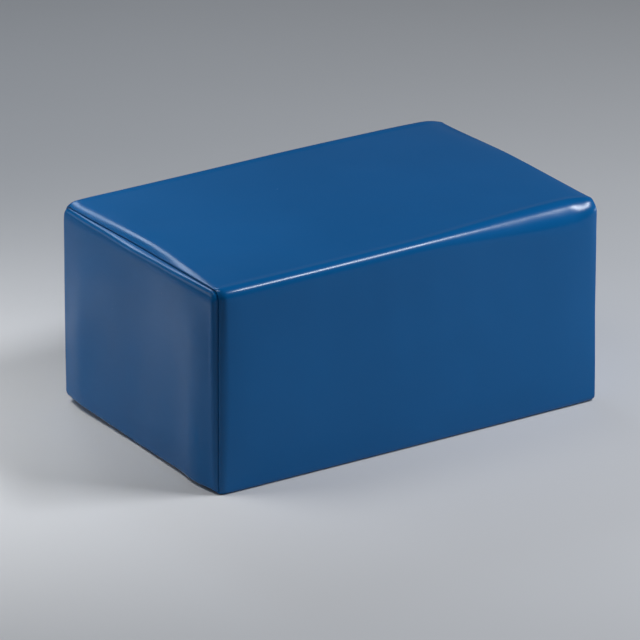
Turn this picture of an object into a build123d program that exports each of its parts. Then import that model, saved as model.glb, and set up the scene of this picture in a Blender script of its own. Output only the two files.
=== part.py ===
from build123d import *
import os

# A firm rectangular foam block in a sewn vinyl cover with a zipper low on its back face.
# +X runs along the block's length, -Y is the long front face, +Z is up.
# The origin is the centre of the underside. All lengths are in millimetres.

# Block
LENGTH = 610.0
DEPTH = 395.0
HEIGHT = 288.0
FOLD_RADIUS = 8.0  # soft folds of the wrap panel along the four long edges

# Cover: coated fabric, with its seam allowances turned in
VINYL = 0.7
PLY_GAP = 0.1  # between two plies that lie on each other
ALLOWANCE = 12.0
END_ROLL_RADIUS = 4.0  # rolled edge of an end panel
WRAP_INSET = 2.5  # folded end of the wrap, in from the end plane
WRAP_EDGE_RADIUS = 0.5
SEAM_THREAD = 0.6

# Foam filling, three slabs glued face to face
BASE_SLAB = 70.0
TOP_SLAB = 70.0
FOAM_EASE = 0.1  # between the foam and the cover
SEAM_RELIEF = 16.0  # length at each end where the foam gives way to the allowances

# Zipper, on the back face
ZIP_HEIGHT = 46.0  # centre line of the chain above the floor
SLOT_LENGTH = 560.0
SLOT_HALF = 7.6  # from the chain's centre line to each hemmed edge
HEM = 10.0
TAPE = 0.6
TAPE_END = 12.0  # tape beyond the slot at each end
TAPE_INNER = 3.6  # inner edge of each tape from the centre line
TAPE_OUTER = 17.6
TOOTH_PITCH = 3.4
TOOTH_THICK = 2.8
TOOTH_NECK = 1.0
TOOTH_HEAD = 1.5
TOOTH_REACH = 1.3  # past the centre line
TOOTH_NECK_LENGTH = 2.0
TOOTH_CHAMFER = 0.4
BEAD = 0.8  # moulded bead that carries the teeth
STOP_LENGTH = 5.0
STOP_EASE = 0.5  # between the slider and a stop at either end of its travel
STOP_INNER = 1.0  # inner face of a top stop from the centre line
END_MARGIN = 4.0  # between the outer end of a stop and the end of the slot

# Slider and its pull tab
SLIDER_LENGTH = 17.0
SLIDER_WIDTH = 13.0  # at the open mouth
SLIDER_NOSE = 10.6  # width of the plates at the narrow, closed end
PLATE = 1.4
CHAIN_EASE = 0.3  # between a slider plate and the teeth
FLANGE = 1.1
TAPE_EASE = 0.3  # between a slider flange and the tape
WEDGE_LENGTH = 6.0
WEDGE_WIDTH = 3.6
WEDGE_SHOULDER = 1.5
WEDGE_NOSE = 2.4
BRIDGE_LENGTH = 11.0
BRIDGE_WIDTH = 3.2
BRIDGE_RISE = 3.4
BRIDGE_THICK = 1.1
PIN = 1.6
PIN_LIFT = 1.15  # pin axis above the outer plate
ARM_GAP = 0.4
ARM_WIDTH = 1.6
ARM_REACH = 0.9  # clear of the bridge before the grip starts
PULL_LENGTH = 32.0
PULL_WIDTH = 9.0
PULL_THICK = 1.5
PULL_HOLE = 3.2

# Stitching beside the zipper
STITCH = 7.0
STITCH_INSET = 3.5  # from the hemmed edge
THREAD = 0.6
NEEDLE_EASE = 0.1

# Worked out from the values above
BACK = DEPTH / 2
PLY = VINYL + PLY_GAP
HEM_DEPTH = PLY + VINYL  # from the outer face to the inner face of a turned-in hem
TAPE_PLANE = BACK - HEM_DEPTH - PLY_GAP - TAPE / 2  # middle of the tape
FOAM_LENGTH = LENGTH - 2 * (VINYL + FOAM_EASE)
FOAM_INSET = VINYL + FOAM_EASE
RELIEF_DEPTH = 3 * PLY + SEAM_THREAD
CHANNEL_HALF = TOOTH_THICK / 2 + CHAIN_EASE  # from the tape's middle to a slider plate
CHAIN_START = -(SLOT_LENGTH / 2 - STOP_LENGTH - END_MARGIN)
CHAIN_END = -CHAIN_START  # where the top stops stand
SLIDER_CLOSED = CHAIN_END - STOP_EASE - SLIDER_LENGTH / 2
SLIDER_TRAVEL = SLIDER_CLOSED - (CHAIN_START + STOP_EASE + SLIDER_LENGTH / 2)
WEDGE_EASE = 0.6  # between the last tooth and the slider's wedge
STITCH_END = 4.0  # plain hem past the last stitch
RELIEF_EASE = 1.5  # foam cut back beside the zipper
RELIEF_END = 2.0  # foam cut back past the tape's end
SLIDER_EASE = 0.6  # foam cut back under the slider
SEAM_THREAD_INSET = 3.0  # seam thread, in from the wrap's edge
BRIDGE_SPLAY = 0.2  # extra lean of the bridge's legs
OVERCUT = 1.0  # how far a cutting solid runs past what it cuts
TEETH_END = SLIDER_CLOSED + SLIDER_LENGTH / 2 - WEDGE_LENGTH - WEDGE_EASE
PLATE_FACE = TAPE_PLANE + CHANNEL_HALF + PLATE
PIN_PLANE = PLATE_FACE + PIN_LIFT


def block_section(inset):
    """Rounded rectangle of the block's end view, drawn inset from the outer face."""
    plane = Plane((0, 0, HEIGHT / 2), x_dir=(0, 1, 0), z_dir=(1, 0, 0))
    radius = max(FOLD_RADIUS - inset, 1.0)
    return plane * RectangleRounded(DEPTH - 2 * inset, HEIGHT - 2 * inset, radius)


def block_length(inset, start, end):
    """Solid of the block's end view between two places along X."""
    return Pos(start, 0, 0) * extrude(block_section(inset), end - start)


def edges_at(shape, x):
    """The edges of a shape that lie in one plane across X."""
    found = []
    for edge in shape.edges():
        box = edge.bounding_box()
        if abs(box.min.X - x) < 1e-3 and abs(box.max.X - x) < 1e-3:
            found.append(edge)
    return found


def span_box(x, y, z):
    """Box between a low and a high value on each axis."""
    size = [high - low for low, high in (x, y, z)]
    middle = [(low + high) / 2 for low, high in (x, y, z)]
    return Pos(*middle) * Box(*size)


def both_ends(shape):
    """A shape at the +X end with its mirror image at the -X end."""
    return [shape, mirror(shape, Plane.YZ)]


def foam_block():
    """The whole filling, before it is cut into slabs."""
    half = FOAM_LENGTH / 2
    middle = block_length(FOAM_INSET, -half + SEAM_RELIEF, half - SEAM_RELIEF)
    whole = block_length(RELIEF_DEPTH, -half, half)
    ends = edges_at(whole, -half) + edges_at(whole, half)
    whole = fillet(ends, END_ROLL_RADIUS)
    return middle + whole - zipper_relief()


def zipper_relief():
    """Where the foam gives way to the zipper's hems, tapes and slider."""
    half = SLOT_LENGTH / 2 + TAPE_END + RELIEF_END
    hem_zone = TAPE_OUTER + RELIEF_EASE
    hem_floor = BACK - HEM_DEPTH - TAPE - THREAD - 3 * PLY_GAP
    shallow = span_box(
        (-half, half),
        (hem_floor, BACK),
        (ZIP_HEIGHT - hem_zone, ZIP_HEIGHT + hem_zone),
    )
    slider_zone = SLIDER_WIDTH / 2 + RELIEF_EASE
    slider_floor = TAPE_PLANE - TOOTH_THICK / 2 - CHAIN_EASE - PLATE - SLIDER_EASE
    deep = span_box(
        (-half, half),
        (slider_floor, BACK),
        (ZIP_HEIGHT - slider_zone, ZIP_HEIGHT + slider_zone),
    )
    return shallow + deep


def foam_slabs():
    """The filling cut into its three glued slabs."""
    foam = foam_block()
    low = FOAM_INSET
    high = HEIGHT - FOAM_INSET
    cuts = [low, low + BASE_SLAB, high - TOP_SLAB, high]
    names = ["foam_base_slab", "foam_core_slab", "foam_top_slab"]
    slabs = {}
    for name, bottom, top in zip(names, cuts[:-1], cuts[1:]):
        layer = span_box((-LENGTH, LENGTH), (-DEPTH, DEPTH), (bottom, top))
        slabs[name] = foam & layer
    return slabs


def wrap_tube():
    """The wrap panel as a tube, with its two ends turned back inside as seam allowances."""
    half = LENGTH / 2 - WRAP_INSET
    straight = half - VINYL
    outer = block_length(0, -straight, straight)
    inner = block_length(VINYL, -straight - OVERCUT, straight + OVERCUT)
    tube = outer - inner
    for end in both_ends(turned_end(half)):
        tube = tube + end
    return tube


def turned_end(half):
    """Fold and allowance at the +X end of the wrap."""
    cap = block_length(0, half - VINYL, half)
    cap = fillet(edges_at(cap, half), WRAP_EDGE_RADIUS)
    fold = cap - block_length(HEM_DEPTH, half - OVERCUT, half + OVERCUT)
    start = half - ALLOWANCE
    allowance = block_length(PLY, start, half) - block_length(HEM_DEPTH, start - OVERCUT, half + OVERCUT)
    return fold + (allowance - block_length(PLY, half - VINYL, half + OVERCUT))


def zipper_slot():
    """Opening in the back face between the two hemmed edges."""
    return span_box(
        (-SLOT_LENGTH / 2, SLOT_LENGTH / 2),
        (BACK - HEM_DEPTH - OVERCUT, BACK + OVERCUT),
        (ZIP_HEIGHT - SLOT_HALF, ZIP_HEIGHT + SLOT_HALF),
    )


def slot_hem(side):
    """Turned-in edge of the wrap above (side = 1) or below (side = -1) the zipper."""
    half = SLOT_LENGTH / 2
    edge = ZIP_HEIGHT + side * SLOT_HALF
    fold_levels = sorted((edge, edge + side * VINYL))
    hem_levels = sorted((edge, edge + side * HEM))
    fold = span_box((-half, half), (BACK - HEM_DEPTH, BACK - VINYL / 2), fold_levels)
    hem = span_box((-half, half), (BACK - HEM_DEPTH, BACK - PLY), hem_levels)
    return fold + hem


def stitch_places():
    """Needle places along one row of stitching."""
    count = int((SLOT_LENGTH - 2 * STITCH_END) / STITCH)
    first = -count * STITCH / 2
    return [first + i * STITCH for i in range(count + 1)]


def needle_holes(side):
    """Holes of one stitching row through the cover, its hem and the tape."""
    level = ZIP_HEIGHT + side * (SLOT_HALF + STITCH_INSET)
    width = THREAD + 2 * NEEDLE_EASE
    holes = []
    for x in stitch_places():
        hole = Pos(x, BACK - HEM_DEPTH, level) * Box(width, 4 * HEM_DEPTH, width)
        holes.append(hole)
    return holes


def cover_wrap_panel():
    """One strip over the top, front, underside and back, hemmed at the zipper."""
    wrap = wrap_tube() - zipper_slot()
    for side in (-1, 1):
        wrap = wrap + slot_hem(side)
    return wrap - (needle_holes(-1) + needle_holes(1))


def right_end_panel():
    """End panel whose edge rolls round and runs in under the wrap's allowance."""
    end = LENGTH / 2
    rim_inset = HEM_DEPTH + PLY_GAP + SEAM_THREAD
    start = end - ALLOWANCE - 1.0
    outer = block_length(rim_inset, start, end)
    outer = fillet(edges_at(outer, end), END_ROLL_RADIUS)
    inner = block_length(rim_inset + VINYL, start - 1, end - VINYL)
    inner = fillet(edges_at(inner, end - VINYL), END_ROLL_RADIUS - VINYL)
    return outer - inner


def right_seam_thread():
    """Thread line between the wrap's allowance and the end panel's rim."""
    place = LENGTH / 2 - WRAP_INSET - SEAM_THREAD_INSET
    ring_inset = HEM_DEPTH + PLY_GAP / 2
    width = SEAM_THREAD
    outer = block_length(ring_inset, place - width, place + width)
    reach = width + OVERCUT
    inner = block_length(ring_inset + width, place - reach, place + reach)
    return outer - inner


def zipper_tape(side):
    """Woven tape along one side of the chain."""
    half = SLOT_LENGTH / 2 + TAPE_END
    levels = sorted((ZIP_HEIGHT + side * TAPE_INNER, ZIP_HEIGHT + side * TAPE_OUTER))
    faces = (TAPE_PLANE - TAPE / 2, TAPE_PLANE + TAPE / 2)
    return span_box((-half, half), faces, levels) - needle_holes(side)


def tooth_outline(x):
    """One tooth from root to tip and back, along X and out from the centre line."""
    root = TAPE_INNER - BEAD
    neck_end = root - TOOTH_NECK_LENGTH
    shoulder = neck_end - TOOTH_CHAMFER
    neck = TOOTH_NECK / 2
    head = TOOTH_HEAD / 2
    rising = [
        (neck, root),
        (neck, neck_end),
        (head, shoulder),
        (head, TOOTH_CHAMFER - TOOTH_REACH),
        (neck, -TOOTH_REACH),
    ]
    near = [(x - u, v) for u, v in rising]
    far = [(x + u, v) for u, v in reversed(rising)]
    return near + far


def tooth_row(side):
    """Moulded teeth on the bead along one tape's edge, as one comb."""
    shift = 0.0 if side > 0 else TOOTH_PITCH / 2
    first = CHAIN_START + TOOTH_HEAD + shift
    count = int((TEETH_END - TOOTH_HEAD / 2 - first) / TOOTH_PITCH) + 1
    root = TAPE_INNER - BEAD
    outline = [(CHAIN_START, TAPE_INNER), (CHAIN_START, root)]
    for i in range(count):
        outline += tooth_outline(first + i * TOOTH_PITCH)
    outline += [(CHAIN_END, root), (CHAIN_END, TAPE_INNER)]
    points = [(x, side * v) for x, v in outline]
    return zip_extrude(points, TAPE_PLANE - TOOTH_THICK / 2, TAPE_PLANE + TOOTH_THICK / 2)


def zip_extrude(points, near, far):
    """Plate with an outline given along X and up from the chain's centre line."""
    plane = Plane((0, far, ZIP_HEIGHT), x_dir=(1, 0, 0), z_dir=(0, -1, 0))
    face = make_face(Polyline(*points, close=True))
    return extrude(plane * face, far - near)


def stop_block(x, levels):
    """Moulded stop over the chain."""
    half_thick = TOOTH_THICK / 2
    faces = (TAPE_PLANE - half_thick, TAPE_PLANE + half_thick)
    return span_box((x - STOP_LENGTH / 2, x + STOP_LENGTH / 2), faces, levels)


def zipper_bottom_stop():
    """Block that joins both rows where the zipper stops opening."""
    place = CHAIN_START - STOP_LENGTH / 2
    return stop_block(place, (ZIP_HEIGHT - TAPE_INNER, ZIP_HEIGHT + TAPE_INNER))


def zipper_top_stops():
    """Two small blocks, one on each row, where the slider rests when closed."""
    place = CHAIN_END + STOP_LENGTH / 2
    stops = []
    for side in (-1, 1):
        levels = sorted((ZIP_HEIGHT + side * STOP_INNER, ZIP_HEIGHT + side * TAPE_INNER))
        stops.append(stop_block(place, levels))
    return Compound(children=stops)


def stitching_row(side):
    """Lockstitch seen edge on as a ladder: a line on each face, joined at every needle hole."""
    outer_face = BACK + THREAD
    inner_face = TAPE_PLANE - TAPE / 2 - THREAD
    places = stitch_places()
    start = places[0] - THREAD / 2
    end = places[-1] + THREAD / 2
    level = ZIP_HEIGHT + side * (SLOT_HALF + STITCH_INSET)
    thread_levels = (level - THREAD / 2, level + THREAD / 2)
    ladder = span_box((start, end), (inner_face, outer_face), thread_levels)
    windows = []
    for left, right in zip(places[:-1], places[1:]):
        window = span_box(
            (left + THREAD / 2, right - THREAD / 2),
            (inner_face + THREAD, outer_face - THREAD),
            (level - OVERCUT, level + OVERCUT),
        )
        windows.append(window)
    return ladder - windows


def slider_plate(near, far):
    """One plate of the slider, wide at the open mouth and narrow at the closed end."""
    edge = slider_edge()
    mirrored = [(x, -v) for x, v in reversed(edge)]
    return zip_extrude(edge + mirrored, near, far)


def slider_edge():
    """Upper edge of the slider from its narrow end to its mouth."""
    half = SLIDER_LENGTH / 2
    outline = [(-half, SLIDER_NOSE / 2), (0, SLIDER_WIDTH / 2), (half, SLIDER_WIDTH / 2)]
    return [(SLIDER_CLOSED + x, v) for x, v in outline]


def slider_flanges():
    """Four lips that run along the plates' edges and hold the tapes between them."""
    edge = slider_edge()
    inner = [(x, v - FLANGE) for x, v in reversed(edge)]
    lip = TAPE / 2 + TAPE_EASE
    spans = [
        (TAPE_PLANE + lip, TAPE_PLANE + CHANNEL_HALF),
        (TAPE_PLANE - CHANNEL_HALF, TAPE_PLANE - lip),
    ]
    flanges = []
    for near, far in spans:
        for side in (-1, 1):
            points = [(x, side * v) for x, v in edge + inner]
            flanges.append(zip_extrude(points, near, far))
    return flanges


def slider_wedge():
    """Diamond that parts the two rows at the open mouth."""
    mouth = SLIDER_CLOSED + SLIDER_LENGTH / 2
    half = WEDGE_WIDTH / 2
    points = [
        (mouth - WEDGE_LENGTH, 0),
        (mouth - WEDGE_SHOULDER, half),
        (mouth, WEDGE_NOSE / 2),
        (mouth, -WEDGE_NOSE / 2),
        (mouth - WEDGE_SHOULDER, -half),
    ]
    return zip_extrude(points, TAPE_PLANE - CHANNEL_HALF, TAPE_PLANE + CHANNEL_HALF)


def slider_bridge():
    """Arch on the outer plate that the pull tab's pin runs under."""
    half = BRIDGE_LENGTH / 2
    lean = BRIDGE_THICK + BRIDGE_SPLAY
    rise = BRIDGE_RISE
    inside = rise - BRIDGE_THICK
    arch = [(-half, 0), (-half + lean, rise), (half - lean, rise), (half, 0)]
    foot = half - BRIDGE_THICK
    window = [(foot, 0), (foot - lean, inside), (lean - foot, inside), (-foot, 0)]
    plane = Plane((SLIDER_CLOSED, PLATE_FACE, ZIP_HEIGHT), x_dir=(1, 0, 0), z_dir=(0, 0, 1))
    face = make_face(Polyline(*(arch + window), close=True))
    return extrude(plane * face, BRIDGE_WIDTH / 2, both=True)


def slider_body():
    """Two plates joined by a wedge, with side lips and a bridge for the pull tab."""
    outer = slider_plate(TAPE_PLANE + CHANNEL_HALF, PLATE_FACE)
    inner = slider_plate(TAPE_PLANE - CHANNEL_HALF - PLATE, TAPE_PLANE - CHANNEL_HALF)
    body = outer + inner + slider_wedge()
    for flange in slider_flanges():
        body = body + flange
    return body + slider_bridge()


def slider_pull():
    """Pull tab with two arms and a round pin between them, lying back along the chain."""
    pin_half = BRIDGE_WIDTH / 2 + ARM_GAP + ARM_WIDTH
    axis = Plane((SLIDER_CLOSED, PIN_PLANE, ZIP_HEIGHT - pin_half), z_dir=(0, 0, 1))
    pin = extrude(axis * Circle(PIN / 2), 2 * pin_half)
    tab_start = BRIDGE_LENGTH / 2 + ARM_REACH
    near = PIN_PLANE - PULL_THICK / 2
    far = PIN_PLANE + PULL_THICK / 2
    pull = pin + pull_tab(tab_start, near, far)
    inner = BRIDGE_WIDTH / 2 + ARM_GAP
    for side in (-1, 1):
        levels = sorted((side * inner, side * (inner + ARM_WIDTH)))
        arm = span_box(
            (SLIDER_CLOSED - tab_start - 1, SLIDER_CLOSED),
            (near, far),
            (ZIP_HEIGHT + levels[0], ZIP_HEIGHT + levels[1]),
        )
        pull = pull + arm
    return pull


def pull_tab(start, near, far):
    """Flat grip of the pull tab with a rounded end and a hole."""
    radius = PULL_WIDTH / 2
    straight = PULL_LENGTH - radius - start
    middle = SLIDER_CLOSED - start - straight / 2
    grip = span_box(
        (middle - straight / 2, middle + straight / 2),
        (near, far),
        (ZIP_HEIGHT - radius, ZIP_HEIGHT + radius),
    )
    plane = Plane((SLIDER_CLOSED - start - straight, near, ZIP_HEIGHT), z_dir=(0, 1, 0))
    rounded = extrude(plane * Circle(radius), far - near)
    hole = extrude(plane * Circle(PULL_HOLE / 2), far - near)
    return grip + rounded - hole


def build_parts():
    """Every piece of the block, by name."""
    parts = foam_slabs()
    parts["cover_wrap_panel"] = cover_wrap_panel()
    for name, shape in (("end_panel", right_end_panel()), ("end_seam_thread", right_seam_thread())):
        parts[f"right_{name}"] = shape
        parts[f"left_{name}"] = mirror(shape, Plane.YZ)
    for name, side in (("upper", 1), ("lower", -1)):
        parts[f"zipper_{name}_tape"] = zipper_tape(side)
        parts[f"zipper_{name}_teeth"] = tooth_row(side)
        parts[f"zipper_{name}_stitching"] = stitching_row(side)
    parts["zipper_bottom_stop"] = zipper_bottom_stop()
    parts["zipper_top_stops"] = zipper_top_stops()
    parts["slider_body"] = slider_body()
    parts["slider_pull"] = slider_pull()
    return parts


os.makedirs("parts", exist_ok=True)
for node, solid in build_parts().items():
    export_step(solid, f"parts/{node}.step")
    print(node, round(solid.volume, 1), "mm3")
print("slider closed at x", round(SLIDER_CLOSED, 3), "travel", round(SLIDER_TRAVEL, 3))
print("pull pin at y", round(PIN_PLANE, 3), "z", ZIP_HEIGHT)
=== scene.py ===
import math

import bmesh
import bpy
import numpy as np
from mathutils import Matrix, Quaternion, Vector
from mathutils.geometry import delaunay_2d_cdt


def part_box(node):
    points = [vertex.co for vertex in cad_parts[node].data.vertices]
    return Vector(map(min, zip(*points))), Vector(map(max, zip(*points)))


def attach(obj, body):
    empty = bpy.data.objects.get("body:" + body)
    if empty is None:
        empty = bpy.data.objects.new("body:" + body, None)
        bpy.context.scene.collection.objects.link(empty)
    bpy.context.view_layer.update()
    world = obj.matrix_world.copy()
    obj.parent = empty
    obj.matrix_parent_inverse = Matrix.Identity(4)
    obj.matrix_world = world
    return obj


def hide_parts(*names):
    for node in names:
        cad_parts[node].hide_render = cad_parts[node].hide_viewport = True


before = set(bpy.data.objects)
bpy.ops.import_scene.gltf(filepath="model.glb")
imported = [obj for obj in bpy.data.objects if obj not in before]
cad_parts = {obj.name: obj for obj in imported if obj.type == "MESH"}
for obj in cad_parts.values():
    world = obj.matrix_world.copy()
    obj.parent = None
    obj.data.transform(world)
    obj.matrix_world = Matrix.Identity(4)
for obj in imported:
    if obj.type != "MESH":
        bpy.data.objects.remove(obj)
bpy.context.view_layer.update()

MM = 0.001
ROOT = "block"

# The block's faces, from the frame.
wrap_low, wrap_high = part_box("cover_wrap_panel")
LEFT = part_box("left_end_panel")[0][0]
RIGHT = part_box("right_end_panel")[1][0]
FRONT, BACK = wrap_low[1], wrap_high[1]
FLOOR, TOP = wrap_low[2], wrap_high[2]
LENGTH, DEPTH, HEIGHT = RIGHT - LEFT, BACK - FRONT, TOP - FLOOR
MID_Z = FLOOR + HEIGHT / 2

# The zipper, from the frame.
upper_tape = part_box("zipper_upper_tape")
lower_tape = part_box("zipper_lower_tape")
upper_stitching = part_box("zipper_upper_stitching")
ZIP_Z = (upper_tape[0][2] + lower_tape[1][2]) / 2
STITCH_INSET = 3.5 * MM
SLOT_HALF = (upper_stitching[0][2] + upper_stitching[1][2]) / 2 - STITCH_INSET - ZIP_Z
SLOT_END = upper_tape[1][0] - 12 * MM
STITCH_PITCH = 7 * MM

# The cover.
VINYL = 0.7 * MM
PLY = 0.8 * MM
SEAM_INSET = 5.0 * MM
GROOVE = 2.3 * MM
ROLL_STEPS = 5
END_STEPS = 9
END_TURN = math.radians(74)
FOLD_STEPS = 10

# How the cover rounds over towards each end seam, in millimetres, at eight places round the end
# view: underside, lower front corner, front, upper front corner, top, upper back corner, back and
# lower back corner. "inset" is how far the seam lies in from the end, "width" is how far from the
# seam the rounding starts, "power" is how late it sets in, "inward" and "upward" are how far the
# seam is shifted along Y and Z, and "roll" is the radius of the end panel's own rounded edge.
EDGES = {
    "left": {
        "inset": [5, 7, 7.5, 9, 14, 7.5, 5, 7.5],
        "width": [14, 12, 16, 10, 15.5, 16, 16, 18],
        "power": [2.6, 2.6, 2.6, 2.6, 2.0, 2.4, 2.6, 2.6],
        "inward": [0, 4, 5, 7, 0, -3.5, -2.5, -3],
        "upward": [1, 1.5, 0, -1.5, -5.7, -4.5, 0, 6.5],
        "roll": [4, 4.5, 5.5, 4.5, 4, 4.5, 6, 5],
    },
    "right": {
        "inset": [5, 3.5, 4.5, 5, 4, 5, 5, 5],
        "width": [12, 14, 14, 16, 14, 34, 16, 20],
        "power": [2.6, 2.6, 2.6, 2.6, 2.6, 2.6, 2.6, 2.6],
        "inward": [0, 0.5, 1.5, 3, 0, -6, -2.5, -3],
        "upward": [1, 1.5, 0, -1.5, -0.5, -5, 0, 3],
        "roll": [4, 5, 5, 5, 3.5, 8, 7, 6],
    },
}


def smooth_step(low, high, value):
    """0 below low, 1 above high and a smooth rise between them."""
    t = np.clip((value - low) / (high - low), 0.0, 1.0)
    return t * t * (3 - 2 * t)


def bump(value, centre, spread):
    """Bell curve of height 1."""
    return np.exp(-(((value - centre) / spread) ** 2))


# ---------------------------------------------------------------- the block's section


def fold_radii(x):
    """Radii of the lower front, upper front, upper back and lower back folds at a place along X."""
    t = (x - LEFT) / LENGTH
    lower_front = 5.5 + 2 * smooth_step(0.7, 1.0, t)
    widening = smooth_step(0.5, 0.9, t) * (1 - 1.05 * smooth_step(0.93, 1.02, t))
    upper_front = 12.5 + t + 14 * widening
    upper_back = 9 + 7 * smooth_step(0.5, 1.0, t)
    return [r * MM for r in (lower_front, upper_front, upper_back, 9.0)]


def fold_flatness(x):
    """How far the middle of the upper front fold is flattened, more towards the right."""
    return 0.2 * smooth_step(0.5, 0.93, (x - LEFT) / LENGTH)


def top_level(x):
    """Height of the top at a place along X: the block is a little taller towards the right."""
    return TOP + (4.9 * smooth_step(0.05, 1.0, (x - LEFT) / LENGTH) - 0.7) * MM


def spread_levels(low, high, step):
    """Evenly spaced fractions from low to high, both left out, about one step apart."""
    count = max(2, round((high - low) / step))
    return np.linspace(0, 1, count + 1)[1:-1]


BOTTOM_FRACTIONS = spread_levels(0, DEPTH, 8 * MM)
FRONT_FRACTIONS = spread_levels(0, HEIGHT, 6 * MM)
TOP_FRACTIONS = spread_levels(0, DEPTH, 6 * MM)
BACK_FRACTIONS = spread_levels(0, HEIGHT - 75 * MM, 7 * MM)
SLOT_STEPS = [-0.6, -0.16, -0.05, 0.0, 0.05, 0.16, 0.6]
BESIDE_SLOT = [0.4, 1.2, 2.6, 5, 9, 14]


def back_levels():
    """Fixed heights of the grid lines on the lower back face, falling, with the slot's edges."""
    edge = SLOT_HALF
    above = [ZIP_Z + edge + d * MM for d in reversed(BESIDE_SLOT)] + [ZIP_Z + edge]
    inside = [ZIP_Z - edge * t for t in SLOT_STEPS]
    below = [ZIP_Z - edge] + [ZIP_Z - edge - d * MM for d in BESIDE_SLOT]
    return above + inside + below


BACK_LEVELS = back_levels()
SLOT_TOP = len(BESIDE_SLOT)
SLOT_BOTTOM = SLOT_TOP + len(SLOT_STEPS) + 1


def section(x):
    """Points of the end view at one X: (y, z), outward normals and station round the ring.

    The ring runs along the underside to the front, up, back over the top and down the back.
    """
    lower_front, upper_front, upper_back, lower_back = fold_radii(x)
    top = top_level(x)
    points, normals, stations = [], [], []

    def add(y, z, ny, nz, station):
        points.append((y, z))
        normals.append((ny, nz))
        stations.append(station)

    def corner(y, z, radius, start, station, flatness=0.0):
        for i in range(FOLD_STEPS + 1):
            turn = math.radians(90 * i / FOLD_STEPS)
            a = math.radians(start) - turn
            over_chord = math.cos(turn - math.pi / 4) - math.cos(math.pi / 4)
            r = radius * (1 - flatness * over_chord * math.sin(2 * turn) ** 2)
            add(y + r * math.cos(a), z + r * math.sin(a), math.cos(a), math.sin(a), station)

    for t in BOTTOM_FRACTIONS:
        start, end = BACK - lower_back, FRONT + lower_front
        add(start + (end - start) * t, FLOOR, 0, -1, -1 + 2 * t)
    corner(FRONT + lower_front, FLOOR + lower_front, lower_front, 270, 1)
    for t in FRONT_FRACTIONS:
        start, end = FLOOR + lower_front, top - upper_front
        add(FRONT, start + (end - start) * t, -1, 0, 1 + 2 * t)
    corner(FRONT + upper_front, top - upper_front, upper_front, 180, 3, fold_flatness(x))
    for t in TOP_FRACTIONS:
        start, end = FRONT + upper_front, BACK - upper_back
        add(start + (end - start) * t, top, 0, 1, 3 + 2 * t)
    corner(BACK - upper_back, top - upper_back, upper_back, 90, 5)
    low_band = BACK_LEVELS[0] + 5 * MM
    start = top - upper_back
    for t in BACK_FRACTIONS:
        add(BACK, start + (low_band - start) * t, 1, 0, 5 + 1.6 * t)
    for z in BACK_LEVELS:
        add(BACK, z, 1, 0, 6.6 + 0.4 * (BACK_LEVELS[0] - z) / (BACK_LEVELS[0] - BACK_LEVELS[-1]))
    corner(BACK - lower_back, FLOOR + lower_back, lower_back, 0, 7)
    return np.array(points), np.array(normals), np.array(stations)


RING_COUNT = len(section(0.0)[2])
BACK_START = (
    len(BOTTOM_FRACTIONS) + len(FRONT_FRACTIONS) + len(TOP_FRACTIONS) + len(BACK_FRACTIONS)
    + 3 * (FOLD_STEPS + 1)
)


def round_the_ring(values, stations):
    """Smooth values at any station, from eight values at stations 0 to 7."""
    turned = np.mod(stations, 8)
    lower = np.floor(turned).astype(int) % 8
    upper = (lower + 1) % 8
    t = turned - np.floor(turned)
    t = t * t * (3 - 2 * t)
    values = np.array(values, float)
    return values[lower] * (1 - t) + values[upper] * t


def seam_shift(face, stations, distance):
    """Shift (y, z) of each ring point at a distance from the end seam, as the edge rounds over."""
    edge = EDGES[face]
    width = round_the_ring(edge["width"], stations) * MM
    share = 0.73 * np.clip(1 - distance / width, 0, 1) ** round_the_ring(edge["power"], stations)
    share = share + 0.27 * np.clip(1 - distance / (3 * width), 0, 1) ** 2
    shift = [round_the_ring(edge[key], stations) for key in ("inward", "upward")]
    return np.column_stack(shift) * MM * share[:, None]


def seam_inset(face, stations):
    """How far the end seam lies in from the end, round the ring."""
    return round_the_ring(EDGES[face]["inset"], stations) * MM


# ---------------------------------------------------------------- cloth simulation

CELL = 9 * MM
FACES = {
    "left": (0, -1), "right": (0, 1), "front": (1, -1), "back": (1, 1), "under": (2, -1), "top": (2, 1),
}


def box_grid():
    """Closed box of square cells: vertices, faces and each vertex's place on the lattice."""
    low = np.array([LEFT, FRONT, FLOOR])
    size = np.array([LENGTH, DEPTH, HEIGHT])
    counts = np.round(size / CELL).astype(int)
    index, lattice = {}, []

    def vertex(place):
        if place not in index:
            index[place] = len(lattice)
            lattice.append(place)
        return index[place]

    faces = []
    for axis, side in FACES.values():
        first, second = [a for a in range(3) if a != axis]
        level = 0 if side < 0 else int(counts[axis])
        for i in range(counts[first]):
            for j in range(counts[second]):
                corners = []
                for di, dj in ((0, 0), (1, 0), (1, 1), (0, 1)):
                    place = [0, 0, 0]
                    place[axis], place[first], place[second] = level, i + di, j + dj
                    corners.append(vertex(tuple(place)))
                outward = side if axis != 1 else -side
                faces.append(corners if outward > 0 else corners[::-1])
    lattice = np.array(lattice)
    return low + size * lattice / counts, faces, lattice, counts


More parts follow.
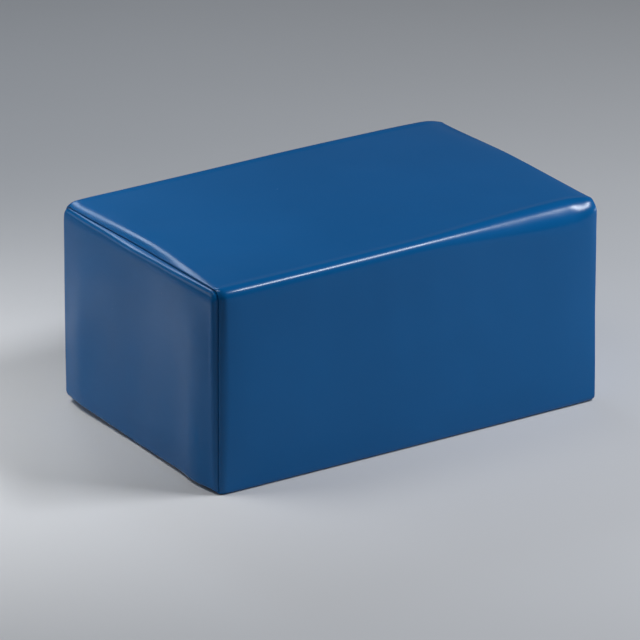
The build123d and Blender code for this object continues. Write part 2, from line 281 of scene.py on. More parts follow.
def simulated_swelling():
    """Displacement of each face, outwards, when the foam presses a slightly loose cover out."""
    points, faces, lattice, counts = box_grid()
    mesh = bpy.data.meshes.new("cover_simulation")
    mesh.from_pydata(points.tolist(), [], faces)
    mesh.update()
    cover = bpy.data.objects.new("cover_simulation", mesh)
    bpy.context.collection.objects.link(cover)
    on_edge = ((lattice == 0) | (lattice == counts)).sum(axis=1) >= 2
    pins = cover.vertex_groups.new(name="pins")
    pins.add(np.nonzero(on_edge)[0].tolist(), 1.0, "REPLACE")
    cloth = cover.modifiers.new("Cloth", "CLOTH")
    cloth.settings.vertex_group_mass = "pins"
    cloth.settings.quality = 6
    cloth.settings.mass = 0.4
    cloth.settings.tension_stiffness = 60
    cloth.settings.compression_stiffness = 30
    cloth.settings.shear_stiffness = 20
    cloth.settings.bending_stiffness = 8
    cloth.settings.shrink_min = -0.0012
    cloth.settings.use_pressure = True
    cloth.settings.uniform_pressure_force = 1.2
    cloth.settings.effector_weights.gravity = 0.3
    cloth.collision_settings.use_collision = False
    scene = bpy.context.scene
    for step in range(1, 21):
        scene.frame_set(step)
    graph = bpy.context.evaluated_depsgraph_get()
    moved = cover.evaluated_get(graph).to_mesh()
    after = np.empty(len(moved.vertices) * 3)
    moved.vertices.foreach_get("co", after)
    shift = after.reshape(-1, 3) - points
    scene.frame_set(1)
    bpy.data.objects.remove(cover)
    fields = {}
    for name, (axis, side) in FACES.items():
        first, second = [a for a in range(3) if a != axis]
        level = 0 if side < 0 else counts[axis]
        here = lattice[:, axis] == level
        field = np.zeros((counts[first] + 1, counts[second] + 1))
        field[lattice[here, first], lattice[here, second]] = shift[here, axis] * side
        fields[name] = field
    return fields


def evened(field, passes):
    """A field smoothed by averaging neighbours, with its border kept."""
    for _ in range(passes):
        inner = field[1:-1, 1:-1]
        beside = field[:-2, 1:-1] + field[2:, 1:-1] + field[1:-1, :-2] + field[1:-1, 2:]
        field[1:-1, 1:-1] = 0.5 * inner + 0.125 * beside
    return field


SWELL_CAP = 4.5 * MM
SWELL = simulated_swelling()
for face_name, face_field in SWELL.items():
    SWELL[face_name] = np.clip(evened(face_field, 3), -1 * MM, SWELL_CAP)
    print("swelling", face_name, face_field.min() / MM, face_field.max() / MM)


def sample(name, u, v):
    """A face's swelling at fractions u and v along its two axes."""
    field = SWELL[name]
    i = np.clip(u, 0, 1) * (field.shape[0] - 1)
    j = np.clip(v, 0, 1) * (field.shape[1] - 1)
    i0 = np.minimum(i.astype(int), field.shape[0] - 2)
    j0 = np.minimum(j.astype(int), field.shape[1] - 2)
    a, b = i - i0, j - j0
    near = field[i0, j0] * (1 - b) + field[i0, j0 + 1] * b
    far = field[i0 + 1, j0] * (1 - b) + field[i0 + 1, j0 + 1] * b
    return near * (1 - a) + far * a


# ---------------------------------------------------------------- shape of each face


def along(value, low, span):
    """Fraction of the way along a face."""
    return (value - low) / span


def top_shape(x, y):
    """How far the top stands out at a point."""
    return 0.7 * sample("top", along(x, LEFT, LENGTH), along(y, FRONT, DEPTH))


def front_shape(x, z):
    """How far the front stands out: nearly flat, with a waist at its right edge."""
    swelling = 0.3 * sample("front", along(x, LEFT, LENGTH), along(z, FLOOR, HEIGHT))
    rise = along(z, FLOOR, HEIGHT)
    waist = 1.2 * MM * bump(x, RIGHT - 10 * MM, 30 * MM) * bump(rise, 0.52, 0.22)
    return swelling - waist


def back_shape(x, z):
    """How far the back stands out: flat round the zipper, with a crease past its ends."""
    swelling = 0.35 * sample("back", along(x, LEFT, LENGTH), along(z, FLOOR, HEIGHT))
    swelling = swelling * smooth_step(70 * MM, 120 * MM, z)
    past_end = smooth_step(SLOT_END, SLOT_END + 2 * MM, abs(x))
    crease = 0.9 * MM * bump(z, ZIP_Z, 0.7 * MM) * past_end
    return swelling - crease


def end_shape(y, z, name):
    """How far an end stands out: a soft upright ridge near the front, a shallow valley behind it,
    a second ridge towards the back, and a small lip beside the front seam."""
    across = along(y, FRONT, DEPTH)
    rise = along(z, FLOOR, HEIGHT)
    from_front = y - FRONT
    swelling = 0.3 * sample(name, across, rise)
    inside = smooth_step(0, 0.16, across) * smooth_step(0, 0.16, 1 - across)
    upright = 1 - 0.85 * smooth_step(0.68, 1.0, rise)
    lean = 10 * MM * np.sin(4 * rise)
    front_ridge = 7.0 * MM * bump(from_front + lean, 38 * MM, 60 * MM) * upright
    front_ridge = front_ridge * (0.75 + 0.25 * smooth_step(0, 0.3, rise))
    fall = 4.4 * MM * np.clip(1 - from_front / (36 * MM), 0, 1) ** 2
    top_fall = 5.0 * MM * np.clip(1 - (TOP - z) / (24 * MM), 0, 1) ** 2
    back_ridge = 5.0 * MM * bump(across, 0.68 + 0.6 * np.clip(0.8 - rise, 0, 0.4), 0.18)
    back_ridge = back_ridge * (1 - 0.9 * smooth_step(0.7, 0.96, rise))
    ripple = 0.45 * MM * np.sin(2 * math.pi * 3.3 * across + 2.5 * rise)
    lip = 0.6 * MM * bump(from_front, 13 * MM, 4 * MM) * upright
    return swelling + inside * (front_ridge + back_ridge + ripple) - fall * upright - top_fall + lip


def wrap_shape(x, points, stations):
    """How far the wrap stands out at each point of one ring."""
    out = np.zeros(len(stations))
    y, z = points[:, 0], points[:, 1]
    on_top = (stations > 3) & (stations < 5)
    on_front = (stations > 1) & (stations < 3)
    on_back = (stations > 5) & (stations < 7)
    out[on_top] = top_shape(x, y[on_top])
    out[on_front] = front_shape(x, z[on_front])
    out[on_back] = back_shape(x, z[on_back])
    return out


# ---------------------------------------------------------------- meshes


def new_piece(name, vertices, faces, material, body=ROOT):
    """Mesh object that rides on a body and takes its finish from a material slot."""
    mesh = bpy.data.meshes.new(name)
    mesh.from_pydata([tuple(v) for v in vertices], [], faces)
    mesh.validate()
    mesh.update()
    for polygon in mesh.polygons:
        polygon.use_smooth = True
    piece = bpy.data.objects.new(name, mesh)
    bpy.context.collection.objects.link(piece)
    mesh.materials.append(material)
    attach(piece, body)
    return piece


def thicken(piece, thickness):
    """Solid thickness, added on the inner side."""
    solid = piece.modifiers.new("thickness", "SOLIDIFY")
    solid.thickness = thickness
    solid.offset = -1
    return solid


def grid_faces(row_count, ring_count, closed=True):
    """Quads between neighbouring rows of a grid, as (row, place, corners)."""
    last = ring_count if closed else ring_count - 1
    quads = []
    for r in range(row_count - 1):
        for s in range(last):
            t = (s + 1) % ring_count
            a, b = r * ring_count + s, r * ring_count + t
            c, d = (r + 1) * ring_count + t, (r + 1) * ring_count + s
            quads.append((r, s, (a, b, c, d)))
    return quads


SHOULDER_STEPS = [0.8, 1.4, 2.2, 3.2, 4.5, 6, 8, 10, 12.5, 15, 18, 21.5, 25, 29, 34, 40, 47]


TURNED_IN_STEPS = [12, 9, 6, 3.5, 1.8]


def wrap_columns():
    """Columns of the wrap from left to right: (x, extra depth of a turned-in layer)."""
    seam = LEFT + SEAM_INSET
    left = [(seam + d * MM, 2 * PLY) for d in TURNED_IN_STEPS]
    for i in range(1, ROLL_STEPS):
        a = math.pi * i / ROLL_STEPS
        left.append((seam + PLY * (1 - math.sin(a)), PLY * (1 + math.cos(a))))
    slot_distance = (-SLOT_END - seam) / MM
    left += [(seam + d * MM, 0.0) for d in sorted(SHOULDER_STEPS + [slot_distance])]
    start = left[-1][0]
    count = round(-2 * start / (6 * MM))
    middle = [(x, 0.0) for x in np.linspace(start, -start, count + 1)[1:-1]]
    right = [(-x, extra) for x, extra in reversed(left)]
    return left + middle + right


def ring_at(x, distance, extra):
    """Points of the wrap round one column, at a distance from its end seam."""
    face, side = ("left", -1) if x < 0 else ("right", 1)
    points, normals, stations = section(x)
    out = wrap_shape(x, points, stations) - extra
    moved = points + normals * out[:, None] + seam_shift(face, stations, distance)
    nearness = 1 - smooth_step(0, 60 * MM, distance)
    along_x = x - side * (seam_inset(face, stations) - SEAM_INSET) * nearness
    return np.column_stack([along_x, moved])


def make_wrap(material):
    """The wrap panel, turned in at both ends and hemmed at the zipper."""
    columns = wrap_columns()
    rows = []
    for x, extra in columns:
        distance = min(x - (LEFT + SEAM_INSET), RIGHT - SEAM_INSET - x)
        if extra > 0:
            distance = SHOULDER_STEPS[0] * MM
        rows.append(ring_at(x, distance, extra))
    vertices = np.concatenate(rows)
    slot_places = range(BACK_START + SLOT_TOP, BACK_START + SLOT_BOTTOM)
    faces = []
    for r, s, corners in grid_faces(len(rows), RING_COUNT):
        x = (columns[r][0] + columns[r + 1][0]) / 2
        if s in slot_places and abs(x) < SLOT_END:
            continue
        faces.append(corners)
    slot_rows = [r for r, c in enumerate(columns) if abs(c[0]) <= SLOT_END + 1e-6 and c[1] == 0.0]
    vertices = vertices.tolist()
    for place, side in ((BACK_START + SLOT_TOP, 1), (BACK_START + SLOT_BOTTOM, -1)):
        faces += add_hem(vertices, slot_rows, columns, place, side)
    wrap = new_piece("wrap_panel_vinyl", vertices, faces, material)
    thicken(wrap, 0.9 * VINYL)
    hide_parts("cover_wrap_panel")
    return wrap


HEM_STEPS = [2, 5, 9.5]


def add_hem(vertices, slot_rows, columns, place, side):
    """Adds a hem turned in along one edge of the slot, and returns its faces."""
    edge = ZIP_Z + side * SLOT_HALF
    profile = []
    for i in range(1, ROLL_STEPS + 1):
        a = math.pi * i / ROLL_STEPS
        profile.append((BACK - PLY * (1 - math.cos(a)), edge - side * PLY * 0.6 * math.sin(a)))
    profile += [(BACK - 2 * PLY, edge + side * d * MM) for d in HEM_STEPS]
    start = len(vertices)
    width = len(profile)
    for r in slot_rows:
        for y, z in profile:
            vertices.append([columns[r][0], y, z])
    faces = []
    for k, (r, q) in enumerate(zip(slot_rows[:-1], slot_rows[1:])):
        left = [r * RING_COUNT + place] + [start + k * width + i for i in range(width)]
        right = [q * RING_COUNT + place] + [start + (k + 1) * width + i for i in range(width)]
        for i in range(width):
            quad = (left[i], right[i], right[i + 1], left[i + 1])
            faces.append(quad if side < 0 else quad[::-1])
    return faces


def end_boundary(side):
    """The end panel's rim at its seam: points (y, z), normals, how far in it lies, roll radius."""
    end, face = (LEFT, "left") if side < 0 else (RIGHT, "right")
    points, normals, stations = section(end - side * SEAM_INSET)
    rim = points + seam_shift(face, stations, SHOULDER_STEPS[0] * MM) - normals * GROOVE
    roll = round_the_ring(EDGES[face]["roll"], stations) * MM
    return rim, normals, seam_inset(face, stations), roll


RIM_STEPS = [9, 6, 3]
RING_STEPS = [1.2, 2.6, 4.2, 6, 8, 10.5]
LATTICE = 5 * MM


def fill_inside(ring):
    """Triangles that fill a closed ring of (y, z) points, on a regular lattice of points."""
    low, high = ring.min(axis=0), ring.max(axis=0)
    counts = np.round((high - low) / LATTICE).astype(int)
    lines = [np.linspace(low[k], high[k], counts[k] + 1)[1:-1] for k in range(2)]
    points = [Vector(p) for p in ring]
    points += [Vector((y, z)) for y in lines[0] for z in lines[1]]
    count = len(ring)
    border = [(i, (i + 1) % count) for i in range(count)]
    filled = delaunay_2d_cdt(points, border, [], 1, 1e-7)
    return filled[0], filled[2]


def make_end(name, side, material):
    """An end panel: rim turned in, rolled edge, a few rings and a filled middle."""
    end, face = (LEFT, "left") if side < 0 else (RIGHT, "right")
    rim, normals, inset, roll = end_boundary(side)
    start = inset + 1.5 * MM
    middle = np.column_stack([rim[:, 0] * (DEPTH - HEIGHT) / DEPTH, np.full(RING_COUNT, MID_Z)])
    rows = []

    def add(x, depth):
        t = (depth / (HEIGHT / 2))[:, None]
        rows.append(np.column_stack([x, rim * (1 - t) + middle * t]))

    for distance in RIM_STEPS:
        add(end - side * (start + distance * MM), 0 * roll)
    for i in range(END_STEPS + 1):
        a = END_TURN * i / END_STEPS
        add(end - side * start * (1 - math.sin(a)), roll * (1 - math.cos(a)))
    for step in RING_STEPS:
        add(np.full(RING_COUNT, end), roll + step * MM)
    faces = [corners for _, _, corners in grid_faces(len(rows), RING_COUNT)]
    base = (len(rows) - 1) * RING_COUNT
    inside, triangles = fill_inside(rows[-1][:, 1:])
    rows.append(np.array([(end, p[0], p[1]) for p in inside[RING_COUNT:]]))
    for a, b, c in triangles:
        faces.append((base + c, base + b, base + a))
    if side > 0:
        faces = [corners[::-1] for corners in faces]
    vertices = np.concatenate(rows)
    nearness = smooth_step(6 * MM, 0, np.abs(vertices[:, 0] - end))
    vertices[:, 0] += side * nearness * end_shape(vertices[:, 1], vertices[:, 2], face)
    panel = new_piece(name + "_vinyl", vertices, faces, material)
    thicken(panel, 0.9 * VINYL)
    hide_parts(name)
    return panel


# ---------------------------------------------------------------- foam


FOAM_GAP = 5.6 * MM
FOAM_EASE = 18 * MM


def foam_piece(node, material):
    """One foam slab inside the cover, with eased edges and an open-celled surface."""
    low, high = (Vector(v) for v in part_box(node))
    low = Vector((LEFT + FOAM_GAP, FRONT + FOAM_GAP, max(low.z, FLOOR + FOAM_GAP)))
    high = Vector((RIGHT - FOAM_GAP, BACK - FOAM_GAP, min(high.z, TOP - FOAM_GAP)))
    work = bmesh.new()
    bmesh.ops.create_cube(work, size=1)
    for vertex in work.verts:
        for axis in range(3):
            vertex.co[axis] = high[axis] if vertex.co[axis] > 0 else low[axis]
    outer = [e for e in work.edges if is_outer_edge(e)]
    bmesh.ops.bevel(work, geom=outer, offset=FOAM_EASE, segments=5, profile=0.5, affect="EDGES")
    mesh = bpy.data.meshes.new(node)
    work.to_mesh(mesh)
    work.free()
    piece = bpy.data.objects.new(node + "_filling", mesh)
    bpy.context.collection.objects.link(piece)
    mesh.materials.append(material)
    for polygon in mesh.polygons:
        polygon.use_smooth = True
    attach(piece, ROOT)
    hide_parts(node)
    return piece


def is_outer_edge(edge):
    """True for an edge that isn't a glued joint between two slabs."""
    a, b = (v.co for v in edge.verts)
    upright = abs(a.z - b.z) > MM
    at_floor = abs(a.z - (FLOOR + FOAM_GAP)) < MM
    at_top = abs(a.z - (TOP - FOAM_GAP)) < MM
    return upright or at_floor or at_top


# ---------------------------------------------------------------- thread


LOCK_STITCH = 0.33 * MM
BAR_TACK = 0.22 * MM
BAR_TACK_COUNT = 14
BAR_TACK_REACH = 6.5 * MM
SEAM_STITCH = 0.28 * MM
SEAM_PITCH = 8 * MM


def capsule(start, end, radius, lift, outward, sides=6, steps=6):
    """One stitch: a thread that dips at both ends, as vertices and faces."""
    start, end, outward = Vector(start), Vector(end), Vector(outward)
    along_it = (end - start).normalized()
    across = along_it.cross(outward).normalized()
    vertices, faces = [], []
    for i in range(steps + 1):
        t = i / steps
        arch = 1 - (2 * t - 1) ** 4
        centre = start.lerp(end, t) + outward * (lift * arch - radius * (1 - arch) * 1.5)
        thick = radius * (0.75 + 0.25 * arch)
        for k in range(sides):
            a = 2 * math.pi * k / sides
            vertices.append(centre + across * thick * math.cos(a) + outward * thick * math.sin(a))
    for i in range(steps):
        for k in range(sides):
            m = (k + 1) % sides
            a, b = i * sides + k, i * sides + m
            c, d = (i + 1) * sides + m, (i + 1) * sides + k
            faces.append((a, b, c, d))
    faces.append(tuple(range(sides))[::-1])
    faces.append(tuple(steps * sides + k for k in range(sides)))
    return vertices, faces


def join_shapes(shapes):
    """Several (vertices, faces) as one."""
    vertices, faces = [], []
    for more_vertices, more_faces in shapes:
        base = len(vertices)
        vertices += more_vertices
        faces += [tuple(base + i for i in face) for face in more_faces]
    return vertices, faces


def make_zipper_stitching(name, side, material):
    """Row of lock stitches along the hemmed edge, with a bar tack at each end."""
    low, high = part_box(name)
    z = (low[2] + high[2]) / 2
    first = low[0] + 0.3 * MM
    count = round((high[0] - low[0] - 0.6 * MM) / STITCH_PITCH)
    shapes = []
    for i in range(count):
        start = first + i * STITCH_PITCH
        a = (start + 0.5 * MM, BACK, z)
        b = (start + STITCH_PITCH - 0.5 * MM, BACK, z)
        shapes.append(capsule(a, b, LOCK_STITCH, 0.12 * MM, (0, 1, 0)))
    for end in (-1, 1):
        for i in range(BAR_TACK_COUNT):
            x = end * (SLOT_END + (1.6 + 0.32 * i) * MM)
            a = (x, BACK, ZIP_Z + side * 0.2 * MM)
            b = (x + end * 0.16 * MM, BACK, ZIP_Z + side * BAR_TACK_REACH)
            shapes.append(capsule(a, b, BAR_TACK, 0.2 * MM, (0, 1, 0)))
    vertices, faces = join_shapes(shapes)
    piece = new_piece(name + "_thread", vertices, faces, material)
    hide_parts(name)
    return piece


def make_seam_thread(name, side, material):
    """Stitches that lie in the groove between the wrap and an end panel."""
    end = LEFT if side < 0 else RIGHT
    rim, normals, inset, _ = end_boundary(side)
    line = np.column_stack([end - side * (inset + 0.9 * MM), rim + normals * 0.35 * MM])
    closed = np.vstack([line, line[:1]])
    lengths = np.concatenate([[0], np.cumsum(np.linalg.norm(np.diff(closed, axis=0), axis=1))])
    count = round(lengths[-1] / SEAM_PITCH)
    shapes = []
    normal_ring = np.vstack([normals, normals[:1]])
    for i in range(count):
        ends = []
        for t in (i + 0.08, i + 0.92):
            at = t / count * lengths[-1]
            ends.append([np.interp(at, lengths, closed[:, k]) for k in range(3)])
        at = (i + 0.5) / count * lengths[-1]
        ny = np.interp(at, lengths, normal_ring[:, 0])
        nz = np.interp(at, lengths, normal_ring[:, 1])
        shapes.append(capsule(ends[0], ends[1], SEAM_STITCH, 0.1 * MM, (0, ny, nz), steps=4))
    vertices, faces = join_shapes(shapes)
    piece = new_piece(name + "_stitches", vertices, faces, material)
    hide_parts(name)
    return piece


RIB_COUNT = 14
RIB_DEPTH = 0.09 * MM


def make_tape(name, material):
    """Woven zipper tape with fine ribs along it."""
    low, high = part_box(name)
    upper = (low[2] + high[2]) / 2 > ZIP_Z
    inner, outer = (low[2], high[2]) if upper else (high[2], low[2])
    middle_y = (low[1] + high[1]) / 2
    across = np.linspace(0, 1, 57)
    lengthwise = np.linspace(low[0], high[0], 60)
    rib = RIB_DEPTH * np.cos(2 * math.pi * across * RIB_COUNT)
    half = (high[1] - low[1]) / 2 - 0.1 * MM
    vertices, faces = [], []
    for x in lengthwise:
        for t, r in zip(across, rib):
            vertices.append((x, middle_y + half + r, inner + (outer - inner) * t))
    width = len(across)
    for _, _, corners in grid_faces(len(lengthwise), width, closed=False):
        faces.append(corners if not upper else corners[::-1])
    tape = new_piece(name + "_woven", vertices, faces, material)
    thicken(tape, 2 * half)
    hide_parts(name)
    return tape


# ---------------------------------------------------------------- materials


class Nodes:
    """Short names for building a material's node tree."""

    def __init__(self, name):
        self.material = bpy.data.materials.new(name)
        self.material.use_nodes = True
        self.tree = self.material.node_tree
        self.shader = self.tree.nodes["Principled BSDF"]

    def feed(self, socket, value):
        """Links a socket to a node's output, or sets a plain value on it."""
        if isinstance(value, bpy.types.NodeSocket):
            self.tree.links.new(value, socket)
        else:
            socket.default_value = value

    def node(self, kind, inputs=(), **settings):
        made = self.tree.nodes.new(kind)
        for key, value in settings.items():
            setattr(made, key, value)
        for key, value in dict(inputs).items():
            self.feed(made.inputs[key], value)
        return made

    def position(self, stretch=(1, 1, 1)):
        """The object's own coordinates in metres, stretched."""
        source = self.node("ShaderNodeTexCoord").outputs["Object"]
        return self.node("ShaderNodeMapping", {"Vector": source, "Scale": stretch}).outputs[0]

    def noise(self, scale, detail=2.0, roughness=0.5, stretch=(1, 1, 1)):
        inputs = {
            "Vector": self.position(stretch), "Scale": scale, "Detail": detail, "Roughness": roughness,
        }
        return self.node("ShaderNodeTexNoise", inputs).outputs[0]

    def spread(self, value, low, high, out_low, out_high):
        inputs = {0: value, 1: low, 2: high, 3: out_low, 4: out_high}
        return self.node("ShaderNodeMapRange", inputs).outputs[0]

    def mix(self, factor, a, b):
        inputs = {0: factor, 6: a, 7: b}
        return self.node("ShaderNodeMix", inputs, data_type="RGBA").outputs[2]

    def maths(self, operation, a, b=0.0):
        return self.node("ShaderNodeMath", {0: a, 1: b}, operation=operation).outputs[0]

    def bump(self, height, strength, distance, below=None):
        inputs = {"Height": height, "Strength": strength, "Distance": distance}
        if below is not None:
            inputs["Normal"] = below
        return self.node("ShaderNodeBump", inputs).outputs[0]

    def occlusion_shade(self, distance):
        """Ambient occlusion used for painted shade: 1 in the open, falling in a groove."""
        made = self.node("ShaderNodeAmbientOcclusion", {"Distance": distance}, samples=8)
        return made.outputs["AO"]

    def set(self, **values):
        for key, value in values.items():
            self.feed(self.shader.inputs[key.replace("_", " ")], value)
        return self.material


def vinyl_material():
    """Smooth semi-gloss coated fabric: faint grain, the weave just showing, soft scuffs, and painted
    shade darkening the colour in the seam grooves.
    """
    m = Nodes("cover_vinyl")
    deep, bright, worn = (0.0018, 0.097, 0.282, 1), (0.0026, 0.104, 0.300, 1), (0.010, 0.125, 0.33, 1)
    cloudy = m.spread(m.noise(5.0, 3.0), 0.35, 0.65, 0.0, 1.0)
    colour = m.mix(cloudy, deep, bright)
    scuffs = m.spread(m.noise(38.0, 5.0, 0.7, (1, 1, 0.35)), 0.66, 0.8, 0.0, 0.3)
    colour = m.mix(scuffs, colour, worn)
    # Painted shade: where ambient occlusion finds a seam groove, the colour is darkened towards a deep
    # blue.
    groove = m.spread(m.occlusion_shade(3 * MM), 0.2, 0.7, 0.0, 1.0)
    colour = m.mix(groove, (0.0015, 0.05, 0.17, 1), colour)
    grain_noise = m.noise(900.0, 3.0, 0.6)
    cells = m.node("ShaderNodeTexVoronoi", {"Vector": m.position(), "Scale": 1300.0}).outputs["Distance"]
    grain = m.maths("ADD", m.maths("MULTIPLY", grain_noise, 0.6), m.maths("MULTIPLY", cells, 0.4))
    weave = m.node(
        "ShaderNodeTexWave", {"Vector": m.position(), "Scale": 180.0, "Distortion": 0.4},
        bands_direction="DIAGONAL",
    ).outputs["Fac"]
    fine = m.bump(grain, 0.06, 0.25 * MM)
    woven = m.bump(weave, 0.02, 0.2 * MM, fine)
    handled = m.bump(m.noise(22.0, 2.0), 0.05, 3 * MM, woven)
    shine = m.spread(m.noise(14.0, 4.0, 0.6), 0.3, 0.7, 0.20, 0.26)
    rough = m.maths("ADD", shine, m.maths("MULTIPLY", scuffs, 0.25))
    return m.set(Base_Color=colour, Roughness=rough, Normal=handled, Specular_IOR_Level=0.22)


def foam_material(name, colour, shade, cell, depth):
    """Foam with its cells showing."""
    m = Nodes(name)
    cells = m.node("ShaderNodeTexVoronoi", {"Vector": m.position(), "Scale": cell}).outputs["Distance"]
    patchy = m.spread(m.noise(30.0, 3.0), 0.3, 0.7, 0.0, 1.0)
    surface = m.mix(m.spread(cells, 0.0, 0.6, 0.0, 1.0), shade, colour)
    surface = m.mix(m.maths("MULTIPLY", patchy, 0.25), surface, shade)
    return m.set(Base_Color=surface, Roughness=0.9, Normal=m.bump(cells, 0.5, depth))


def tape_material():
    """Woven polyester: herringbone ribs in two directions."""
    m = Nodes("zipper_tape")
    inputs = {"Vector": m.position(), "Scale": 420.0, "Distortion": 1.2}
    along_it = m.node("ShaderNodeTexWave", inputs, bands_direction="X").outputs["Fac"]
    inputs["Scale"] = 520.0
    across = m.node("ShaderNodeTexWave", inputs, bands_direction="Z").outputs["Fac"]
    weave = m.maths("MULTIPLY", along_it, across)
    colour = m.mix(weave, (0.004, 0.012, 0.035, 1), (0.014, 0.035, 0.09, 1))
    return m.set(
        Base_Color=colour, Roughness=0.85, Normal=m.bump(weave, 0.6, 0.2 * MM), Sheen_Weight=0.15,
    )


def moulded_material(name, colour, pale, roughness):
    """Moulded or enamelled part: slight colour variation and paler, worn edges."""
    m = Nodes(name)
    pointed = m.node("ShaderNodeNewGeometry").outputs["Pointiness"]
    edges = m.spread(pointed, 0.52, 0.62, 0.0, 0.6)
    mottled = m.spread(m.noise(260.0, 4.0), 0.3, 0.7, 0.0, 0.35)
    surface = m.mix(mottled, colour, pale)
    surface = m.mix(edges, surface, pale)
    rough = m.spread(m.noise(400.0, 3.0), 0.3, 0.7, roughness - 0.06, roughness + 0.08)
    return m.set(Base_Color=surface, Roughness=rough, Normal=m.bump(m.noise(1500.0), 0.08, 0.1 * MM))


def metal_material():
    """Black enamel over zinc, rubbed through to the metal on its edges."""
    m = Nodes("slider_metal")
    pointed = m.node("ShaderNodeNewGeometry").outputs["Pointiness"]
    chips = m.maths("MULTIPLY", m.spread(pointed, 0.51, 0.6, 0.0, 1.0), m.noise(900.0, 4.0, 0.7))
    bare = m.spread(chips, 0.3, 0.5, 0.0, 1.0)
    colour = m.mix(bare, (0.012, 0.013, 0.016, 1), (0.42, 0.42, 0.43, 1))
    rough = m.spread(m.noise(500.0, 3.0), 0.3, 0.7, 0.26, 0.42)
    return m.set(
        Base_Color=colour, Roughness=rough, Metallic=bare, Normal=m.bump(m.noise(1200.0), 0.06, 0.1 * MM),
    )


def thread_material():
    """Twisted bonded thread."""
    m = Nodes("thread")
    inputs = {"Vector": m.position(), "Scale": 900.0, "Distortion": 0.5}
    twist = m.node("ShaderNodeTexWave", inputs, bands_direction="DIAGONAL").outputs["Fac"]
    colour = m.mix(twist, (0.008, 0.05, 0.16, 1), (0.02, 0.12, 0.33, 1))
    return m.set(
        Base_Color=colour, Roughness=0.6, Normal=m.bump(twist, 0.5, 0.15 * MM), Sheen_Weight=0.2,
    )


VINYL_LOOK = vinyl_material()
THREAD_LOOK = thread_material()
TAPE_LOOK = tape_material()
TEETH_LOOK = moulded_material("zipper_teeth", (0.010, 0.022, 0.06, 1), (0.03, 0.06, 0.13, 1), 0.42)
METAL_LOOK = metal_material()
FIRM_FOAM = foam_material("firm_foam", (0.8, 0.8, 0.78, 1), (0.6, 0.6, 0.58, 1), 700.0, 0.5 * MM)
SOFT_FOAM = foam_material("soft_foam", (0.78, 0.68, 0.44, 1), (0.5, 0.4, 0.22, 1), 1100.0, 0.8 * MM)


# ---------------------------------------------------------------- the block

make_wrap(VINYL_LOOK)
for node_name, node_side in (("left_end_panel", -1), ("right_end_panel", 1)):
    make_end(node_name, node_side, VINYL_LOOK)
    make_seam_thread(node_name.replace("panel", "seam_thread"), node_side, THREAD_LOOK)
for node_name, node_side in (("zipper_upper", 1), ("zipper_lower", -1)):
    make_tape(node_name + "_tape", TAPE_LOOK)
    make_zipper_stitching(node_name + "_stitching", node_side, THREAD_LOOK)
foam_piece("foam_base_slab", FIRM_FOAM)
foam_piece("foam_core_slab", SOFT_FOAM)
foam_piece("foam_top_slab", FIRM_FOAM)


def finish_cad_node(name, material, ease):
    """A CAD node that keeps its shape, with eased edges and its own material."""
    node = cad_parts[name]
    for place in node.material_slots:
        place.material = material
    if not node.material_slots:
        node.data.materials.append(material)
    bevel = node.modifiers.new("eased_edges", "BEVEL")
    bevel.width = ease
    bevel.segments = 2
    bevel.limit_method = "ANGLE"
    bevel.angle_limit = math.radians(35)


for node_name in ("zipper_upper_teeth", "zipper_lower_teeth", "zipper_bottom_stop", "zipper_top_stops"):
    finish_cad_node(node_name, TEETH_LOOK, 0.18 * MM)
for node_name in ("slider_body", "slider_pull"):
    finish_cad_node(node_name, METAL_LOOK, 0.2 * MM)


# ---------------------------------------------------------------- floor, light and camera


FLOOR_REACH = 14.0


def make_floor():
    """Plain pale floor: one large plane."""
    mesh = bpy.data.meshes.new("floor")
    corners = [(x * FLOOR_REACH, y * FLOOR_REACH) for x, y in ((-1, -1), (1, -1), (1, 1), (-1, 1))]
    mesh.from_pydata([(x, y, FLOOR - 0.2 * MM) for x, y in corners], [], [(0, 1, 2, 3)])
    floor = bpy.data.objects.new("floor", mesh)
    bpy.context.collection.objects.link(floor)
    m = Nodes("floor_paint")
    colour = m.mix(m.noise(1.5, 3.0), (0.60, 0.60, 0.595, 1), (0.64, 0.64, 0.635, 1))
    mesh.materials.append(m.set(Base_Color=colour, Roughness=0.75, Specular_IOR_Level=0.2))


def area_light(name, direction, distance, size, power, colour, target=(0, 0, MID_Z), spread=180):
    """Rectangular light that faces a point from a direction, its width level."""
    data = bpy.data.lights.new(name, "AREA")
    data.shape = "RECTANGLE"
    data.size, data.size_y = size
    data.energy = power
    data.color = colour
    data.spread = math.radians(spread)
    light = bpy.data.objects.new(name, data)
    bpy.context.collection.objects.link(light)
    away = Vector(direction).normalized()
    light.location = Vector(target) + away * distance
    light.rotation_mode = "QUATERNION"
    light.rotation_quaternion = away.to_track_quat("Z", "Y")


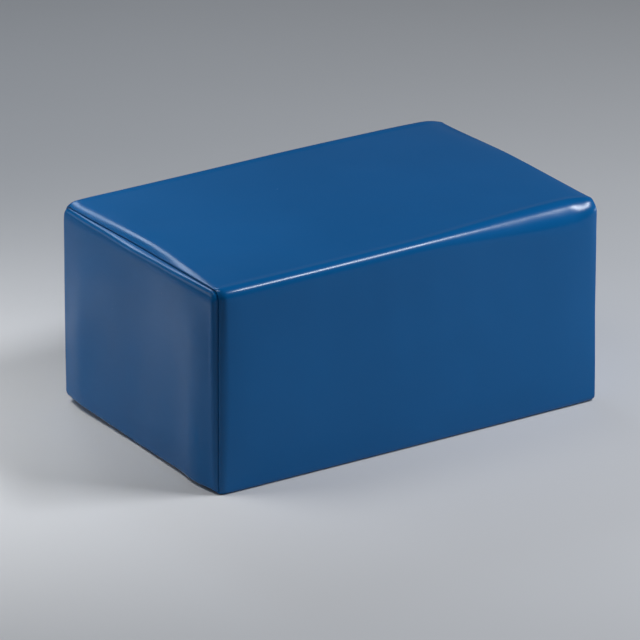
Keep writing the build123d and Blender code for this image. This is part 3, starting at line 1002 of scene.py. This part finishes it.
def make_lights():
    """A window behind, a strip above, soft boxes at the front right and left, and a dim fill."""
    behind = (LEFT - 0.45, BACK + 0.15, FLOOR)
    fold = (LEFT + 0.36 * LENGTH, FRONT, TOP)
    left_edge = (LEFT, 0, TOP)
    area_light("window", (0.26, 0.777, 0.573), 2.4, (0.48, 0.48), 5.4, (0.72, 0.83, 1.0), left_edge)
    area_light("strip", (0.505, -0.37, 0.780), 2.2, (0.82, 0.20), 41, (0.90, 0.93, 1.0), fold)
    area_light("front_box", (0.90, -0.42, 0.15), 3.4, (1.4, 0.9), 30, (0.9, 0.95, 1.0))
    area_light("low_window", (-0.78, 0.62, 0.34), 2.6, (1.8, 1.2), 11, (0.85, 0.92, 1.0))
    area_light("floor_box", (-0.3, 0.2, 1.0), 1.8, (0.9, 1.2), 3.1, (0.97, 0.98, 1.0), behind, 40)
    area_light("horizon", (0.505, 0.777, 0.27), 4.0, (3.2, 1.0), 1.2, (0.97, 0.98, 1.0))
    world = bpy.data.worlds.new("studio")
    world.use_nodes = True
    world.node_tree.nodes["Background"].inputs["Color"].default_value = (0.95, 0.98, 1.0, 1)
    world.node_tree.nodes["Background"].inputs["Strength"].default_value = 0.035
    bpy.context.scene.world = world


# The camera's direction and distance, and how far its aim lies right of and above the block's middle.
VIEW_AZIMUTH = math.radians(-33.0)
VIEW_ELEVATION = math.radians(22.1)
VIEW_DISTANCE = 13.5 * LENGTH
SENSOR = 36.0
FOCAL = 342.5
ROLL = math.radians(0.17)
AIM_RIGHT = -0.0137
AIM_UP = -0.0252


def make_camera():
    """Long lens that looks down on the block from its left front corner."""
    a, e = VIEW_AZIMUTH, VIEW_ELEVATION
    back = Vector((math.sin(a) * math.cos(e), -math.cos(a) * math.cos(e), math.sin(e)))
    right = Vector((math.cos(a), math.sin(a), 0))
    up = back.cross(right)
    data = bpy.data.cameras.new("camera")
    data.sensor_width = SENSOR
    data.lens = FOCAL
    data.clip_end = 100
    camera = bpy.data.objects.new("camera", data)
    bpy.context.collection.objects.link(camera)
    aim = Vector((0, 0, MID_Z)) + right * AIM_RIGHT + up * AIM_UP
    camera.location = aim + back * VIEW_DISTANCE
    camera.rotation_mode = "QUATERNION"
    camera.rotation_quaternion = Quaternion(back, ROLL) @ back.to_track_quat("Z", "Y")
    bpy.context.scene.camera = camera


make_floor()
make_lights()
make_camera()
bpy.context.scene.view_settings.view_transform = "Standard"
